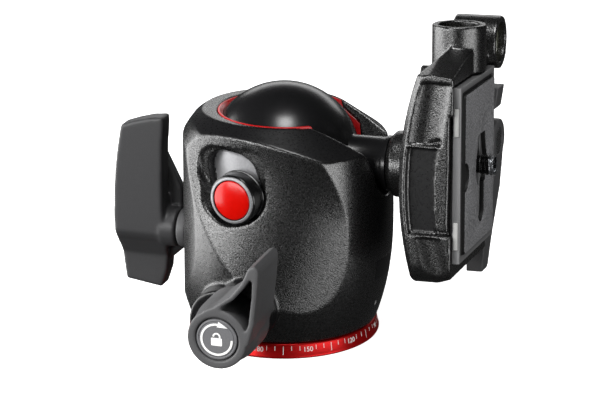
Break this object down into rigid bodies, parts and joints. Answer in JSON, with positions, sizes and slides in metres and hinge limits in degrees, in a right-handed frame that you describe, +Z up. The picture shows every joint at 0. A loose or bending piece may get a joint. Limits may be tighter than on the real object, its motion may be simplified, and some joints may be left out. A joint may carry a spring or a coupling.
{
  "type": "tripod ball head",
  "caption": "Tripod ball head: barrel housing on a graduated pan base, ball with its stem laid in the side slot, lock knob, friction knob, pan lever, quick-release adaptor with plate.",
  "frame": {"origin": "centre of the tripod thread's mouth, on the base's under side", "axes": "+Z up along the pan axis; +X the way the stem points as it lies in the side slot; the pan lever and the friction knob face -Y; the lock knob is on -X"},
  "size_m": [0.1214, 0.0975, 0.1005],
  "materials": {
    "housing_paint": "charcoal-black textured paint with a fine metallic grain",
    "ball_coat": "smooth black hard coat, high satin",
    "red_ring": "red anodised",
    "dark_plastic": "dark grey moulded, lightly textured",
    "red_plastic": "glossy red",
    "steel": "machined steel",
    "black_steel": "blackened steel",
    "spring_steel": "hardened spring steel",
    "seat_polymer": "pale low-friction polymer",
    "brass": "turned brass",
    "plate_metal": "dark grey cast alloy, satin",
    "pad_rubber": "black fine-grained rubber",
    "pale_plastic": "pale grey moulded",
    "level_glass": "clear green-tinted vial"
  },
  "bodies": {
    "base": {"base_plate": "dark_plastic", "thread_insert": "steel", "scale_ring": "red_ring", "pan_washer": "seat_polymer", "keeper_disc": "steel", "keeper_screws": "steel"},
    "housing_body": {"housing": "housing_paint", "ball_collar": "red_plastic", "ball_seat": "seat_polymer", "pressure_cup": "steel", "disc_springs": "spring_steel", "lock_bush": "dark_plastic"},
    "lock_handle": {"lock_knob": "dark_plastic", "lock_screw": "steel", "knob_plug": "dark_plastic"},
    "lock_pin": {"lock_pusher": "brass"},
    "friction_dial": {"friction_knob": "dark_plastic", "friction_cap": "red_plastic"},
    "friction_plunger": {"friction_pin": "brass"},
    "lever": {"pan_lever": "dark_plastic", "lever_disc": "dark_plastic", "lever_screw": "steel"},
    "brake_shoe": {"pan_brake": "brass"},
    "ball_body": {"ball": "ball_coat"},
    "adaptor_body": {"adaptor": "housing_paint", "adaptor_screw": "black_steel", "round_level": "level_glass", "tube_level": "level_glass", "qr_pivot": "steel", "qr_spring": "spring_steel", "camera_plate": "plate_metal", "plate_pad": "pad_rubber", "end_pads": "pale_plastic"},
    "release_lever": {"qr_lever": "dark_plastic"},
    "catch": {"safety_catch": "black_steel"},
    "mount_screw": {"camera_screw": "black_steel", "screw_ring": "steel"}
  },
  "joints": [
    {"name": "pan", "type": "hinge", "parent": "base", "child": "housing_body", "pos_m": [0, 0, 0.0055], "axis": [0, 0, 1], "continuous": true},
    {"name": "lock_turn", "type": "hinge", "parent": "housing_body", "child": "lock_handle", "pos_m": [-0.04, 0, 0.0288], "axis": [-1, 0, 0], "range_deg": [0, 110]},
    {"name": "lock_push", "type": "slide", "parent": "housing_body", "child": "lock_pin", "axis": [-1, 0, 0], "range_m": [0, 0.0008]},
    {"name": "friction_turn", "type": "hinge", "parent": "housing_body", "child": "friction_dial", "pos_m": [-0.00572, -0.02945, 0.0505], "axis": [-0.1908, -0.9816, 0], "range_deg": [0, 270]},
    {"name": "friction_push", "type": "slide", "parent": "housing_body", "child": "friction_plunger", "axis": [-0.1908, -0.9816, 0], "range_m": [0, 0.0003]},
    {"name": "lever_turn", "type": "hinge", "parent": "housing_body", "child": "lever", "pos_m": [-0.0014, -0.05, 0.0167], "axis": [0, -1, 0], "range_deg": [0, 80]},
    {"name": "brake_push", "type": "slide", "parent": "housing_body", "child": "brake_shoe", "axis": [0, -1, 0], "range_m": [0, 0.0003]},
    {"name": "ball_tilt", "type": "hinge", "parent": "housing_body", "child": "ball_body", "pos_m": [0, 0, 0.0556], "axis": [0, -1, 0], "range_deg": [-2, 118]},
    {"name": "ball_spin", "type": "hinge", "parent": "ball_body", "child": "adaptor_body", "pos_m": [0.04397, 0, 0.05714], "axis": [0.9994, 0, 0.0349], "continuous": true},
    {"name": "release_turn", "type": "hinge", "parent": "adaptor_body", "child": "release_lever", "pos_m": [0.05595, 0.02885, 0.05804], "axis": [0.9994, 0, 0.0349], "range_deg": [0, 65]},
    {"name": "catch_slide", "type": "slide", "parent": "adaptor_body", "child": "catch", "axis": [-0.0348, 0.0872, 0.9956], "range_m": [0, 0.0015]},
    {"name": "screw_turn", "type": "hinge", "parent": "adaptor_body", "child": "mount_screw", "pos_m": [0.05995, 0.00364, 0.05798], "axis": [0.9994, 0, 0.0349], "continuous": true}
  ],
  "couplings": [
    {"joint": "lock_turn", "follows": "lock_push", "rad_per_m": 2397.4},
    {"joint": "friction_turn", "follows": "friction_push", "rad_per_m": 15692},
    {"joint": "lever_turn", "follows": "brake_push", "rad_per_m": 4649.6}
  ]
}
